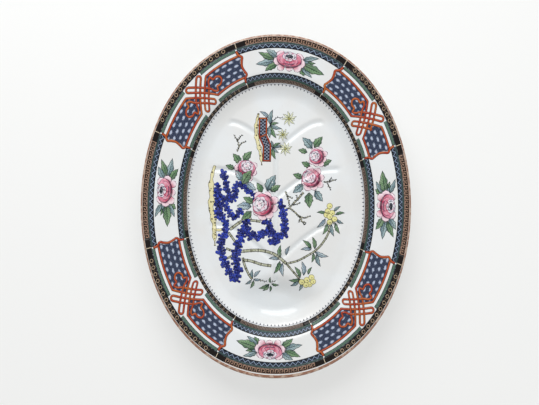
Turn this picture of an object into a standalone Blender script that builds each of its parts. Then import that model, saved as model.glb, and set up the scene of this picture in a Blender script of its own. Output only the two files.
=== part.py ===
"""Oval earthenware serving platter with a drainage tree and a gravy well.

The dish is one pressed body: a lip, a broad sloping rim, a curved side and a floor that falls
gently towards the well. A tree of channels is sunk in the floor. Underneath, three separately
made pieces of clay are luted on: a foot rim round the bulge of the well, and two curved bar feet
that lift the other end to the same height.

Metres, +Z up. The platter lies flat on z = 0, its long axis is Y, and the well is at -Y.
"""

import math

import bmesh
import bpy
from mathutils import Vector

# Overall sizes
LENGTH = 0.533
WIDTH = 0.419
HEIGHT = 0.052
OVAL_POWER = 2.06  # 2 is an ellipse, and more is squarer
END_WIDENING = 1.05  # the rim is this much wider at the ends than at the sides

# The body's section. An inset is a distance in from the lip, measured along X.
LIP_ROUND = 0.0032
RIM_WIDTH = 0.058
RIM_FALL = 0.0078
SIDE_WIDTH = 0.036
FLOOR_HEIGHT = 0.0242
FLOOR_FALL = 0.012  # slope down towards the well, as a share of the distance along Y
WALL = 0.0066
RIM_WALL = 0.0058

# The gravy well: an oval in the floor, open towards the platter's end
WELL_DEPTH = 0.0125
WELL_FROM_FLOOR_END = 0.018  # from the floor's end to the oval's middle
WELL_HALF_WIDTH = 0.080
WELL_HALF_LENGTH = 0.046
WELL_CLIMB = 0.020  # the well's wall starts this far up the side
WELL_WALL_RUN = 0.028

# The drainage tree. A branch's points are shares of the floor's half width and half length.
CHANNEL_RADIUS = 0.0056
CHANNEL_DEPTH = 0.0024
CHANNEL_RUN_OUT = 0.0036  # a branch's tip climbs by this, and so fades out
CHANNEL_POINT_SPACING = 0.007
TRUNK_TOP = 0.53
TRUNK_INTO_WELL = 0.012
BRANCHES = {
    "top": [(0.0, 0.51), (0.17, 0.62), (0.38, 0.73), (0.55, 0.784), (0.68, 0.78)],
    "middle": [(0.0, 0.08), (0.25, 0.215), (0.47, 0.30), (0.67, 0.34), (0.93, 0.35)],
    "low": [(0.0, -0.52), (0.16, -0.43), (0.40, -0.29), (0.65, -0.19), (0.95, -0.17)],
}

# The luted feet. A setback is measured in from the well's outline, or from the floor's.
LUTE_GAP = 0.0003
FOOT_RIM_SIDE_SETBACK = 0.028
FOOT_RIM_END_SETBACK = 0.018
FOOT_RIM_FLOOR_SETBACK = 0.012
FOOT_RIM_THICKNESS = 0.0095
BAR_FOOT_SETBACK = 0.012
BAR_FOOT_THICKNESS = 0.0105
BAR_FOOT_START = math.radians(44)
BAR_FOOT_END = math.radians(70)
FOOT_DRAFT = 0.0015  # a foot is this much thinner on each side at the bottom
FOOT_EDGE_ROUND = 0.0010

# Worked out from the sizes above
FLOOR_INSET = RIM_WIDTH + SIDE_WIDTH
FLOOR_HALF_WIDTH = WIDTH / 2 - FLOOR_INSET
FLOOR_HALF_LENGTH = LENGTH / 2 - FLOOR_INSET * END_WIDENING
WELL_EDGE_INSET = FLOOR_INSET - WELL_CLIMB
WELL_MIDDLE_Y = WELL_FROM_FLOOR_END - FLOOR_HALF_LENGTH
WELL_TOP_Y = WELL_MIDDLE_Y + WELL_HALF_LENGTH
FOOT_RIM_HALF_WIDTH = WELL_HALF_WIDTH - FOOT_RIM_SIDE_SETBACK
FOOT_RIM_LOW_Y = (WELL_EDGE_INSET + FOOT_RIM_END_SETBACK) * END_WIDENING - LENGTH / 2
FOOT_RIM_HIGH_Y = WELL_TOP_Y - FOOT_RIM_FLOOR_SETBACK
BAR_FOOT_INSET = FLOOR_INSET + BAR_FOOT_SETBACK

# Mesh fineness
AROUND = 72
SIDE_RINGS = 8
FLOOR_RINGS = 11
FLOOR_CAP = 0.006  # half the width of the flat face that closes the rings
FOOT_RIM_STEPS = 48
BAR_FOOT_STEPS = 12

GLAZED_WHITE = (0.78, 0.79, 0.82, 1.0)
FIRED_CLAY = (0.72, 0.69, 0.62, 1.0)


def smooth_step(share):
    """0 up to share 0, 1 from share 1, with no kink at either end."""
    share = min(1.0, max(0.0, share))
    return share * share * (3 - 2 * share)


def oval_point(inset, angle):
    """A point on the oval that lies this far inside the lip's outline."""
    half_width = WIDTH / 2 - inset
    half_length = LENGTH / 2 - inset * END_WIDENING
    c, s = math.cos(angle), math.sin(angle)
    reach = (abs(c) ** OVAL_POWER + abs(s) ** OVAL_POWER) ** (-1 / OVAL_POWER)
    return half_width * c * reach, half_length * s * reach


def well_share(x, y, inset):
    """How much of the well's depth is taken at a point: 1 at its middle, 0 outside it."""
    from_middle = math.hypot(x / WELL_HALF_WIDTH, max(0.0, y - WELL_MIDDLE_Y) / WELL_HALF_LENGTH)
    return smooth_step(1.35 * (1 - from_middle)) * smooth_step((inset - WELL_EDGE_INSET) / WELL_WALL_RUN)


def face_height(x, y, inset):
    """Height of the upper face, without the channels."""
    floor = FLOOR_HEIGHT + FLOOR_FALL * y - WELL_DEPTH * well_share(x, y, inset)
    rim = HEIGHT - RIM_FALL * inset / RIM_WIDTH
    return rim + (floor - rim) * smooth_step((inset - RIM_WIDTH + 0.006) / (SIDE_WIDTH + 0.006))


def underside_height(x, y, inset):
    """Height of the lower face, which keeps the wall's thickness square to the sloping side."""
    down_side = smooth_step((inset - RIM_WIDTH + 0.009) / (SIDE_WIDTH + 0.003))
    floor = FLOOR_HEIGHT + FLOOR_FALL * y - WELL_DEPTH * well_share(x, y, inset) - WALL
    rim = HEIGHT - RIM_FALL * inset / RIM_WIDTH - RIM_WALL
    return rim + (floor - rim) * down_side


def add_ring(bm, inset, height_at, drop=0.0):
    """Corners round the oval at this inset, each at its own height."""
    ring = []
    for i in range(AROUND):
        x, y = oval_point(inset, math.tau * i / AROUND)
        ring.append(bm.verts.new((x, y, height_at(x, y, inset) - drop)))
    return ring


def join_rings(bm, rings):
    """A strip of faces between each ring of corners and the next one."""
    for one, other in zip(rings, rings[1:]):
        for i in range(len(one)):
            after = (i + 1) % len(one)
            bm.faces.new((one[i], one[after], other[after], other[i]))


def close_solid(bm):
    """Caps whatever is open, and turns every face outwards."""
    open_edges = [edge for edge in bm.edges if edge.is_boundary]
    bmesh.ops.holes_fill(bm, edges=open_edges)
    bmesh.ops.triangulate(bm, faces=bm.faces[:])
    bmesh.ops.recalc_face_normals(bm, faces=bm.faces[:])


def evenly(start, end, count):
    """count numbers from start to end, both included."""
    return [start + (end - start) * i / (count - 1) for i in range(count)]


def section_insets():
    """Insets of the rings, from the lip to the middle of the floor."""
    middle = min(WIDTH / 2, LENGTH / 2 / END_WIDENING) - FLOOR_CAP
    rim = evenly(2 * LIP_ROUND, RIM_WIDTH - 0.008, 3)
    side = evenly(RIM_WIDTH - 0.003, FLOOR_INSET, SIDE_RINGS)
    return rim + side + evenly(FLOOR_INSET, middle, FLOOR_RINGS)[1:]


def new_object(name, bm, material):
    mesh = bpy.data.meshes.new(name)
    bm.to_mesh(mesh)
    bm.free()
    mesh.materials.append(material)
    obj = bpy.data.objects.new(name, mesh)
    bpy.context.scene.collection.objects.link(obj)
    return obj


def shade_smooth(obj, sharp_over_degrees=35):
    obj.data.shade_smooth()
    obj.data.set_sharp_from_angle(angle=math.radians(sharp_over_degrees))


def make_helper(obj):
    """A cutter: drawn as wire and left out of the model."""
    obj.hide_render = True
    obj.display_type = "WIRE"
    return obj


def cut(obj, cutter, name):
    modifier = obj.modifiers.new(name, "BOOLEAN")
    modifier.operation = "DIFFERENCE"
    modifier.object = cutter
    return modifier


def make_material(name, colour, roughness):
    material = bpy.data.materials.new(name)
    material.use_nodes = True
    shader = material.node_tree.nodes["Principled BSDF"]
    shader.inputs["Base Color"].default_value = colour
    shader.inputs["Roughness"].default_value = roughness
    shader.inputs["Metallic"].default_value = 0.0
    return material


def through_points(points, spacing):
    """Points about this far apart on one smooth curve through the given ones."""
    ends = [Vector(p) for p in points]
    ends = [2 * ends[0] - ends[1], *ends, 2 * ends[-1] - ends[-2]]
    found = []
    for before, start, end, after in zip(ends, ends[1:], ends[2:], ends[3:]):
        steps = max(2, round((end - start).length / spacing))
        for i in range(steps):
            t = i / steps
            found.append(
                0.5
                * (
                    2 * start
                    + (end - before) * t
                    + (2 * before - 5 * start + 4 * end - after) * t**2
                    + (3 * start - before - 3 * end + after) * t**3
                )
            )
    return found + [ends[-2]]


def channel_cutter(name, route, side, fades):
    """A round bar along a channel's route, sunk in the floor by the channel's depth.

    side is 1 or -1, and -1 mirrors the route. A channel that fades has its tip raised out of the floor.
    """
    path = through_points(route, CHANNEL_POINT_SPACING)
    lengths = [0.0]
    for one, other in zip(path, path[1:]):
        lengths.append(lengths[-1] + (other - one).length)
    curve = bpy.data.curves.new(name, "CURVE")
    curve.dimensions = "3D"
    curve.bevel_depth = CHANNEL_RADIUS
    curve.bevel_resolution = 2
    curve.use_fill_caps = True
    spline = curve.splines.new("POLY")
    spline.points.add(len(path) - 1)
    for point, place, length in zip(spline.points, path, lengths):
        climb = CHANNEL_RUN_OUT * smooth_step(2.2 * length / lengths[-1] - 1.2) if fades else 0.0
        floor = FLOOR_HEIGHT + FLOOR_FALL * place.y
        point.co = (side * place.x, place.y, floor + CHANNEL_RADIUS - CHANNEL_DEPTH + climb, 1.0)
    made = bpy.data.objects.new(name, curve)
    bpy.context.scene.collection.objects.link(made)
    bpy.context.view_layer.update()
    graph = bpy.context.evaluated_depsgraph_get()
    mesh = bpy.data.meshes.new_from_object(made.evaluated_get(graph))
    bpy.data.objects.remove(made)
    bm = bmesh.new()
    bm.from_mesh(mesh)
    bmesh.ops.remove_doubles(bm, verts=bm.verts[:], dist=1e-6)
    bmesh.ops.recalc_face_normals(bm, faces=bm.faces[:])
    bm.to_mesh(mesh)
    bm.free()
    cutter = bpy.data.objects.new(name, mesh)
    bpy.context.scene.collection.objects.link(cutter)
    return make_helper(cutter)


def make_body(glaze):
    """The pressed dish, as rings from the middle of the floor over the lip to the middle below."""
    bm = bmesh.new()
    insets = section_insets()
    rings = [add_ring(bm, inset, face_height) for inset in reversed(insets)]
    lip_middle = HEIGHT - RIM_WALL / 2
    rings.append(add_ring(bm, LIP_ROUND, lambda x, y, inset: HEIGHT))
    rings.append(add_ring(bm, LIP_ROUND * 0.29, lambda x, y, inset: lip_middle + RIM_WALL * 0.35))
    rings.append(add_ring(bm, 0.0, lambda x, y, inset: lip_middle))
    rings.append(add_ring(bm, LIP_ROUND * 0.29, lambda x, y, inset: lip_middle - RIM_WALL * 0.35))
    rings.append(add_ring(bm, LIP_ROUND, lambda x, y, inset: HEIGHT - RIM_WALL))
    rings += [add_ring(bm, inset, underside_height) for inset in insets]
    join_rings(bm, rings)
    close_solid(bm)
    body = new_object("platter_body", bm, glaze)
    trunk = [(0.0, FLOOR_HALF_LENGTH * TRUNK_TOP), (0.0, WELL_TOP_Y - TRUNK_INTO_WELL)]
    cut(body, channel_cutter("trunk_cutter", trunk, 1, False), "Trunk channel")
    for name, shares in BRANCHES.items():
        route = [(x * FLOOR_HALF_WIDTH, y * FLOOR_HALF_LENGTH) for x, y in shares]
        for side, side_name in ((1, "right"), (-1, "left")):
            cutter = channel_cutter(f"{name}_{side_name}_cutter", route, side, True)
            cut(body, cutter, f"{name} {side_name} channel")
    shade_smooth(body)
    return body


def make_underside_cutter(glaze):
    """All the space above a surface that lies one luting gap below the body's underside."""
    bm = bmesh.new()
    insets = section_insets()
    rings = [add_ring(bm, inset, underside_height, drop=LUTE_GAP) for inset in reversed(insets)]
    rings.append(add_ring(bm, 2 * LIP_ROUND, lambda x, y, inset: 2 * HEIGHT))
    join_rings(bm, rings)
    close_solid(bm)
    return make_helper(new_object("underside_cutter", bm, glaze))


def foot_level(bm, outline, height):
    """Corners at an outline's points, all at one height."""
    return [bm.verts.new((x, y, height)) for x, y in outline]


def foot_rim_outline(reach):
    """The oval of the foot rim's middle, moved outwards by reach."""
    half_width = FOOT_RIM_HALF_WIDTH + reach
    half_length = (FOOT_RIM_HIGH_Y - FOOT_RIM_LOW_Y) / 2 + reach
    middle_y = (FOOT_RIM_HIGH_Y + FOOT_RIM_LOW_Y) / 2
    turns = [math.tau * i / FOOT_RIM_STEPS for i in range(FOOT_RIM_STEPS)]
    return [(half_width * math.cos(turn), middle_y + half_length * math.sin(turn)) for turn in turns]


def make_foot_rim(clay, underside_cutter):
    """The oval foot rim that is luted round the bulge of the well."""
    half_top = FOOT_RIM_THICKNESS / 2
    half_bottom = half_top - FOOT_DRAFT
    top = FLOOR_HEIGHT
    levels = (
        (half_top, top),
        (half_bottom, FOOT_EDGE_ROUND),
        (half_bottom - FOOT_EDGE_ROUND, 0.0),
        (FOOT_EDGE_ROUND - half_bottom, 0.0),
        (-half_bottom, FOOT_EDGE_ROUND),
        (-half_top, top),
    )
    bm = bmesh.new()
    rings = [foot_level(bm, foot_rim_outline(reach), height) for reach, height in levels]
    join_rings(bm, rings + rings[:1])
    close_solid(bm)
    foot_rim = new_object("well_foot_rim", bm, clay)
    cut(foot_rim, underside_cutter, "Fit to the underside")
    shade_smooth(foot_rim)
    return foot_rim


def bar_outline(half_thickness, side):
    """A curved bar with round ends, which follows the platter's oval."""
    middle = []
    for angle in evenly(BAR_FOOT_START, BAR_FOOT_END, BAR_FOOT_STEPS):
        middle.append(Vector(oval_point(BAR_FOOT_INSET, angle)))
    befores = middle[:1] + middle[:-1]
    afters = middle[1:] + middle[-1:]
    along = [(after - before).normalized() for before, after in zip(befores, afters)]
    outwards = [Vector((direction.y, -direction.x)) for direction in along]
    outer = [p + n * half_thickness for p, n in zip(middle, outwards)]
    inner = [p - n * half_thickness for p, n in zip(middle, outwards)]
    far_cap = round_cap(middle[-1], outwards[-1], along[-1], half_thickness)
    near_cap = round_cap(middle[0], -outwards[0], -along[0], half_thickness)
    return [(side * p.x, p.y) for p in outer + far_cap + inner[::-1] + near_cap]


def round_cap(middle, outwards, along, radius, steps=4):
    """The points of a half circle between a bar's two long sides, without its two ends."""
    turns = [math.pi * i / (steps + 1) for i in range(1, steps + 1)]
    return [middle + (outwards * math.cos(turn) + along * math.sin(turn)) * radius for turn in turns]


def make_bar_foot(name, side, clay, underside_cutter):
    """One of the two curved feet that are luted under the tree's end."""
    half_top = BAR_FOOT_THICKNESS / 2
    half_bottom = half_top - FOOT_DRAFT
    bm = bmesh.new()
    rings = [
        foot_level(bm, bar_outline(half_top, side), FLOOR_HEIGHT),
        foot_level(bm, bar_outline(half_bottom, side), FOOT_EDGE_ROUND),
        foot_level(bm, bar_outline(half_bottom - FOOT_EDGE_ROUND, side), 0.0),
    ]
    join_rings(bm, rings)
    close_solid(bm)
    foot = new_object(name, bm, clay)
    cut(foot, underside_cutter, "Fit to the underside")
    shade_smooth(foot)
    return foot


def main():
    for obj in list(bpy.data.objects):
        bpy.data.objects.remove(obj)
    glaze = make_material("Glazed white", GLAZED_WHITE, 0.12)
    clay = make_material("Fired clay", FIRED_CLAY, 0.55)
    make_body(glaze)
    underside_cutter = make_underside_cutter(glaze)
    make_foot_rim(clay, underside_cutter)
    make_bar_foot("bar_foot_right", 1, clay, underside_cutter)
    make_bar_foot("bar_foot_left", -1, clay, underside_cutter)


main()
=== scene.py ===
import math
import random

import bmesh
import bpy
import numpy as np
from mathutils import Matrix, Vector
from mathutils.bvhtree import BVHTree


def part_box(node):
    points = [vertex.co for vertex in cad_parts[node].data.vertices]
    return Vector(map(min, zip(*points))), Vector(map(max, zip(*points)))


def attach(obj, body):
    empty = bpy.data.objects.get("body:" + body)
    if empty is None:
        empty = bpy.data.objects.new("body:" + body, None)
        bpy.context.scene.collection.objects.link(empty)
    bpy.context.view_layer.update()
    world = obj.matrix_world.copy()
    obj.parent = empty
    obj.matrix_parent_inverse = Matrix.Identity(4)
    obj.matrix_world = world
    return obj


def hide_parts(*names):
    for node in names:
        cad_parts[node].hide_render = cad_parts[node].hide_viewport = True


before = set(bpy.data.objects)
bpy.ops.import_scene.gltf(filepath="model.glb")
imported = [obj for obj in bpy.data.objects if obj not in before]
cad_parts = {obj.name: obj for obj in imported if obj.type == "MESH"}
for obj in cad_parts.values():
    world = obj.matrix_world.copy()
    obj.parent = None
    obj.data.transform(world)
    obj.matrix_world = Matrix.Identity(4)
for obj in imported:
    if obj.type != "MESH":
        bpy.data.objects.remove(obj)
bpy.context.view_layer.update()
mm = 0.001
print("frame loaded")

# The dish's own shape: the same section as the solid one
bodyLow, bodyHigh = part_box("platter_body")
dish = {
    "lipColour": 2.7,  # millimetres of the lip that are coloured
    "halfWidth": bodyHigh.x,
    "halfLength": bodyHigh.y,
    "top": bodyHigh.z,
    "ovalPower": 2.06,
    "endWidening": 1.05,
    "lipRound": 3.2 * mm,
    "rimWidth": 58 * mm,
    "rimFall": 7.8 * mm,
    "rimWall": 5.8 * mm,
    "sideWidth": 36 * mm,
    "floorHeight": 24.2 * mm,
    "floorFall": 0.012,
    "floorWall": 6.6 * mm,
    "faceEase": 6 * mm,  # the side's curve starts this far before the rim ends
    "backEase": 9 * mm,
    "spinSteps": 420,
    "faceRings": (80, 30, 20),  # across the floor, the side and the rim
    "lipRings": 13,
    "backRings": (14, 20, 24),  # across the rim, the side and the floor
}
well = {
    "depth": 12.5 * mm,
    "fromFloorEnd": 18 * mm,
    "halfWidth": 80 * mm,
    "halfLength": 46 * mm,
    "climb": 20 * mm,
    "wallRun": 28 * mm,
    "fullness": 1.35,
}
tree = {  # branch points are shares of the floor's half width and half length
    "halfWidth": 6.6 * mm,
    "depth": 2.4 * mm,
    "trunkTop": 0.53,
    "intoWell": 12 * mm,
    "fadeShare": 1 / 7,  # of each branch, at its tip
    "branches": [
        [(0.0, 0.51), (0.17, 0.62), (0.38, 0.73), (0.55, 0.784), (0.68, 0.78)],
        [(0.0, 0.08), (0.25, 0.215), (0.47, 0.30), (0.67, 0.34), (0.93, 0.35)],
        [(0.0, -0.52), (0.16, -0.43), (0.40, -0.29), (0.65, -0.19), (0.95, -0.17)],
    ],
}
floorInset = dish["rimWidth"] + dish["sideWidth"]
floorHalfWidth = dish["halfWidth"] - floorInset
floorHalfLength = dish["halfLength"] - floorInset * dish["endWidening"]
wellMiddle = well["fromFloorEnd"] - floorHalfLength
sideStart = dish["rimWidth"] - dish["faceEase"]


def smoothStep(share):
    share = np.clip(share, 0, 1)
    return share * share * (3 - 2 * share)


def ovalPoint(inset, angle):
    c, s = np.cos(angle), np.sin(angle)
    reach = (np.abs(c) ** dish["ovalPower"] + np.abs(s) ** dish["ovalPower"]) ** (-1 / dish["ovalPower"])
    halfLength = dish["halfLength"] - inset * dish["endWidening"]
    return (dish["halfWidth"] - inset) * c * reach, halfLength * s * reach


def insetAt(x, y):  # how far in from the lip, found by halving
    near = np.zeros_like(x)
    far = np.full_like(x, dish["halfWidth"] - 0.1 * mm)
    for _ in range(24):
        middle = (near + far) / 2
        across = np.abs(x) / (dish["halfWidth"] - middle)
        along = np.abs(y) / (dish["halfLength"] - middle * dish["endWidening"])
        outside = across ** dish["ovalPower"] + along ** dish["ovalPower"] > 1
        far = np.where(outside, middle, far)
        near = np.where(outside, near, middle)
    return near


def smoothPath(points, step):  # one smooth curve through the points
    ends = np.array(points, float)
    ends = np.vstack([2 * ends[0] - ends[1], ends, 2 * ends[-1] - ends[-2]])
    found = []
    for before, start, end, after in zip(ends, ends[1:], ends[2:], ends[3:]):
        for t in np.arange(0, 1, 1 / max(2, round(np.linalg.norm(end - start) / step))):
            bend = (2 * before - 5 * start + 4 * end - after) * t**2
            twist = (3 * start - before - 3 * end + after) * t**3
            found.append(0.5 * (2 * start + (end - before) * t + bend + twist))
    found.append(ends[-2])
    return np.array(found)


def channelPaths():
    foot = wellMiddle + well["halfLength"] - tree["intoWell"]
    trunk = [(0, tree["trunkTop"] * floorHalfLength), (0, 0), (0, foot)]
    paths = [(smoothPath(trunk, 8 * mm), False)]
    for shares in tree["branches"]:
        for side in (1, -1):
            route = [(side * x * floorHalfWidth, y * floorHalfLength) for x, y in shares]
            paths.append((smoothPath(route, 6 * mm), True))
    return paths


def channelSink(x, y):  # how deep the drainage channels are at each place
    sink = np.zeros_like(x)
    for path, fades in channelPaths():
        nearest = np.full_like(x, 1.0)
        along = np.zeros_like(x)
        for i, (start, end) in enumerate(zip(path, path[1:])):
            run = end - start
            t = np.clip(((x - start[0]) * run[0] + (y - start[1]) * run[1]) / run.dot(run), 0, 1)
            away = np.hypot(x - start[0] - t * run[0], y - start[1] - t * run[1])
            along = np.where(away < nearest, (i + t) / (len(path) - 1), along)
            nearest = np.minimum(away, nearest)
        fade = 1 - smoothStep((along - 1) / tree["fadeShare"] + 1) if fades else 1.0
        shape = 0.5 + 0.5 * np.cos(math.pi * np.clip(nearest / tree["halfWidth"], 0, 1))
        sink = np.maximum(sink, tree["depth"] * fade * shape)
    return sink


def wellShare(x, y, inset):  # 0 outside the well, up to 1 where it is deepest
    away = np.hypot(x / well["halfWidth"], np.maximum(0, y - wellMiddle) / well["halfLength"])
    wall = smoothStep((inset - floorInset + well["climb"]) / well["wallRun"])
    return smoothStep(well["fullness"] * (1 - away)) * wall


def rimAndFloor(x, y, inset):  # the heights that the rim and the floor would have there
    floor = dish["floorHeight"] + dish["floorFall"] * y - well["depth"] * wellShare(x, y, inset)
    return dish["top"] - dish["rimFall"] * inset / dish["rimWidth"], floor


def faceHeight(x, y, inset):
    rim, floor = rimAndFloor(x, y, inset)
    return rim + (floor - rim) * smoothStep((inset - sideStart) / (floorInset - sideStart))


def backHeight(x, y, inset):  # the underside, whose side lies further in by the wall
    rim, floor = rimAndFloor(x, y, inset)
    rim, floor = rim - dish["rimWall"], floor - dish["floorWall"]
    start, run = dish["rimWidth"] - dish["backEase"], dish["sideWidth"] + dish["backEase"] - dish["faceEase"]
    return rim + (floor - rim) * smoothStep((inset - start) / run)


def toObject(bm, name, material):
    mesh = bpy.data.meshes.new(name)
    bm.to_mesh(mesh)
    bm.free()
    mesh.materials.append(material)
    mesh.shade_smooth()
    piece = bpy.data.objects.new(name, mesh)
    bpy.context.scene.collection.objects.link(piece)
    return piece


# Short ways to build a node tree
class Value:  # what a node puts out, so that sums and products of values become Math nodes
    def __init__(self, nodeTree, socket):
        self.nodeTree, self.socket = nodeTree, socket

    def __add__(self, other):
        return calc("ADD", self, other)

    def __sub__(self, other):
        return calc("SUBTRACT", self, other)

    def __mul__(self, other):
        return calc("MULTIPLY", self, other)

    def __pow__(self, power):
        return calc("POWER", self, power)

    def __abs__(self):
        return calc("ABSOLUTE", self)


def addNode(nodeTree, kind, inputs, **settings):
    made = nodeTree.nodes.new("ShaderNode" + kind)
    for key, value in settings.items():
        setattr(made, key, value)
    for key, value in inputs.items():
        if isinstance(value, Value):
            nodeTree.links.new(value.socket, made.inputs[key])
        else:
            made.inputs[key].default_value = value
    return made


def put(nodeTree, kind, inputs, output=0, **settings):
    return Value(nodeTree, addNode(nodeTree, kind, inputs, **settings).outputs[output])


def calc(operation, *values):
    return put(values[0].nodeTree, "Math", dict(enumerate(values)), operation=operation)


def fade(value, low, high, start=0.0, end=1.0):  # from start to end as the value goes from low to high
    sockets = {0: value, 1: low, 2: high, 3: start, 4: end}
    return put(value.nodeTree, "MapRange", sockets, interpolation_type="SMOOTHSTEP")


def mixColours(share, one, other):
    return put(share.nodeTree, "Mix", {0: share, 6: one, 7: other}, 2, data_type="RGBA")


def noise(place, scale, detail=2.0):
    return put(place.nodeTree, "TexNoise", {"Vector": place, "Scale": scale, "Detail": detail})


def cellDistance(place, scale):  # how far each spot is from the middle of its cell
    return put(place.nodeTree, "TexVoronoi", {"Vector": place, "Scale": scale}, "Distance")


def attribute(place, name, output="Fac"):
    return put(place.nodeTree, "Attribute", {}, output, attribute_name=name)


def pingPong(value):  # up to a half and down again
    return calc("PINGPONG", value, 0.5)


def layPlace(place):  # a layer's own map, whole and in its two parts
    spot = put(place.nodeTree, "UVMap", {}, uv_map="lay")
    parts = addNode(place.nodeTree, "SeparateXYZ", {0: spot})
    return spot, *(Value(place.nodeTree, part) for part in parts.outputs[:2])


def colour(red, green, blue):  # from the 0 to 255 of a paint chart
    linear = [((c / 255 + 0.055) / 1.055) ** 2.4 if c > 10 else c / 255 / 12.92 for c in (red, green, blue)]
    return (*linear, 1.0)


def makeGlazeGroup():  # stains, pits and ripples that every glazed surface shares
    group = bpy.data.node_groups.new("glazeSurface", "ShaderNodeTree")
    group.interface.new_socket("Place", in_out="INPUT", socket_type="NodeSocketVector")
    for label in ("Mottle", "Roughness", "Height", "Specks"):
        group.interface.new_socket(label, in_out="OUTPUT", socket_type="NodeSocketFloat")
    place = Value(group, group.nodes.new("NodeGroupInput").outputs["Place"])
    ripple, grain = noise(place, 120.0), noise(place, 900.0)
    found = {
        "Mottle": fade(noise(place, 17.0, 3.0), 0.3, 0.7),
        "Specks": fade(cellDistance(place, 210.0), 0.05, 0.11, 1.0, 0.0) * fade(noise(place, 60.0), 0.56, 0.66),
        "Roughness": fade(ripple, 0.2, 0.8, 0.09, 0.17) + grain * 0.03,
        "Height": ripple * 0.8 + grain * 0.06,
    }
    result = group.nodes.new("NodeGroupOutput")
    for label, value in found.items():
        group.links.new(value.socket, result.inputs[label])
    return group


def startMaterial(name):  # with the place on the object, and what the glaze is like there
    material = bpy.data.materials.new(name)
    material.use_nodes = True
    place = put(material.node_tree, "TexCoord", {}, "Object")
    surface = addNode(material.node_tree, "Group", {}, node_tree=glazeGroup)
    material.node_tree.links.new(place.socket, surface.inputs["Place"])
    return material, place, {output.name: Value(material.node_tree, output) for output in surface.outputs}


def glossOver(material, glaze, base, bump=0.0002, coat=0.08, shine=0.2, roughness=None):
    # the clear glaze over a colour; printed colours lie sunk in it, so they shine less than the bare white
    nodeTree = material.node_tree
    shader = nodeTree.nodes["Principled BSDF"]
    relief = put(nodeTree, "Bump", {"Height": glaze["Height"], "Distance": bump, "Strength": 0.5})
    linked = {"Base Color": base, "Roughness": roughness or glaze["Roughness"], "Normal": relief}
    for key, value in linked.items():
        nodeTree.links.new(value.socket, shader.inputs[key])
    plain = {"IOR": 1.5, "Specular IOR Level": shine, "Coat Weight": coat, "Coat Roughness": 0.15}
    for key, value in plain.items():
        shader.inputs[key].default_value = value


glazeGroup = makeGlazeGroup()

glazeColours = {
    "white": colour(229, 233, 235),
    "stain": colour(224, 222, 218),
    # the bluish grey laid in the channels and the well: partly glaze that pools there, partly painted shade in
    # the recesses
    "poolAndShade": colour(212, 221, 225),
    "speck": colour(120, 100, 84),
    "lip": colour(146, 104, 82),
    "lipWorn": colour(186, 162, 144),
    "clay": colour(214, 206, 190),
    "clayDark": colour(176, 158, 132),
}


def makeDishMaterial():
    material, place, glaze = startMaterial("dishGlaze")
    base = mixColours(glaze["Mottle"] * 0.55, glazeColours["white"], glazeColours["stain"])
    # the channels and the well are tinted bluish grey: glaze pooling there and painted shade in the recesses
    base = mixColours(attribute(place, "poolAndShade") * 0.35, base, glazeColours["poolAndShade"])
    base = mixColours(glaze["Specks"] * 0.3, base, glazeColours["speck"])
    worn = noise(place, 140.0, 4.0)
    lipColour = mixColours(fade(worn, 0.46, 0.6), glazeColours["lip"], glazeColours["lipWorn"])
    edge = attribute(place, "lip") + (worn - 0.5) * 0.35
    glossOver(material, glaze, mixColours(fade(edge, 0.44, 0.56), base, lipColour), 0.00025, coat=0.22,
              shine=0.45)
    return material


slip = {  # the printed transfers aren't laid quite true
    "cornerAt": 60.9, "cornerShift": -9.0, "cornerReach": 42.0,  # millimetres along the border, most at the lip
    "cornerFrom": 62.0, "cornerRun": 52.0,  # the inset where the shift starts, and how far it takes to reach full
    "footShift": 3.6,  # millimetres inwards at the foot of the dish
    "footRun": 400.0,  # the foot's shift wears off over this inset
}


def footSlip(angle):
    return slip["footShift"] * np.clip(-np.sin(angle), 0, 1) ** 3


def dishSection():  # how far in each ring lies, and its share of the way from the face to the back
    def rings(start, end, count):
        return np.linspace(start, end, count + 1)
    half, lipRound = dish["halfWidth"], dish["lipRound"]
    across = (half, floorInset, sideStart, lipRound)
    section = []
    for start, end, count in zip(across, across[1:], dish["faceRings"]):
        section += [(inset, 0.0) for inset in rings(start, end, count)[:-1]]
    for turn in np.linspace(math.pi / 2, -math.pi / 2, dish["lipRings"]):
        section.append((lipRound * (1 - math.cos(turn)), 0.5 - 0.5 * math.sin(turn)))
    for start, end, count in zip(across[::-1], across[-2::-1], dish["backRings"]):
        section += [(inset, 1.0) for inset in rings(start, end, count)[1:]]
    return section


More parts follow.
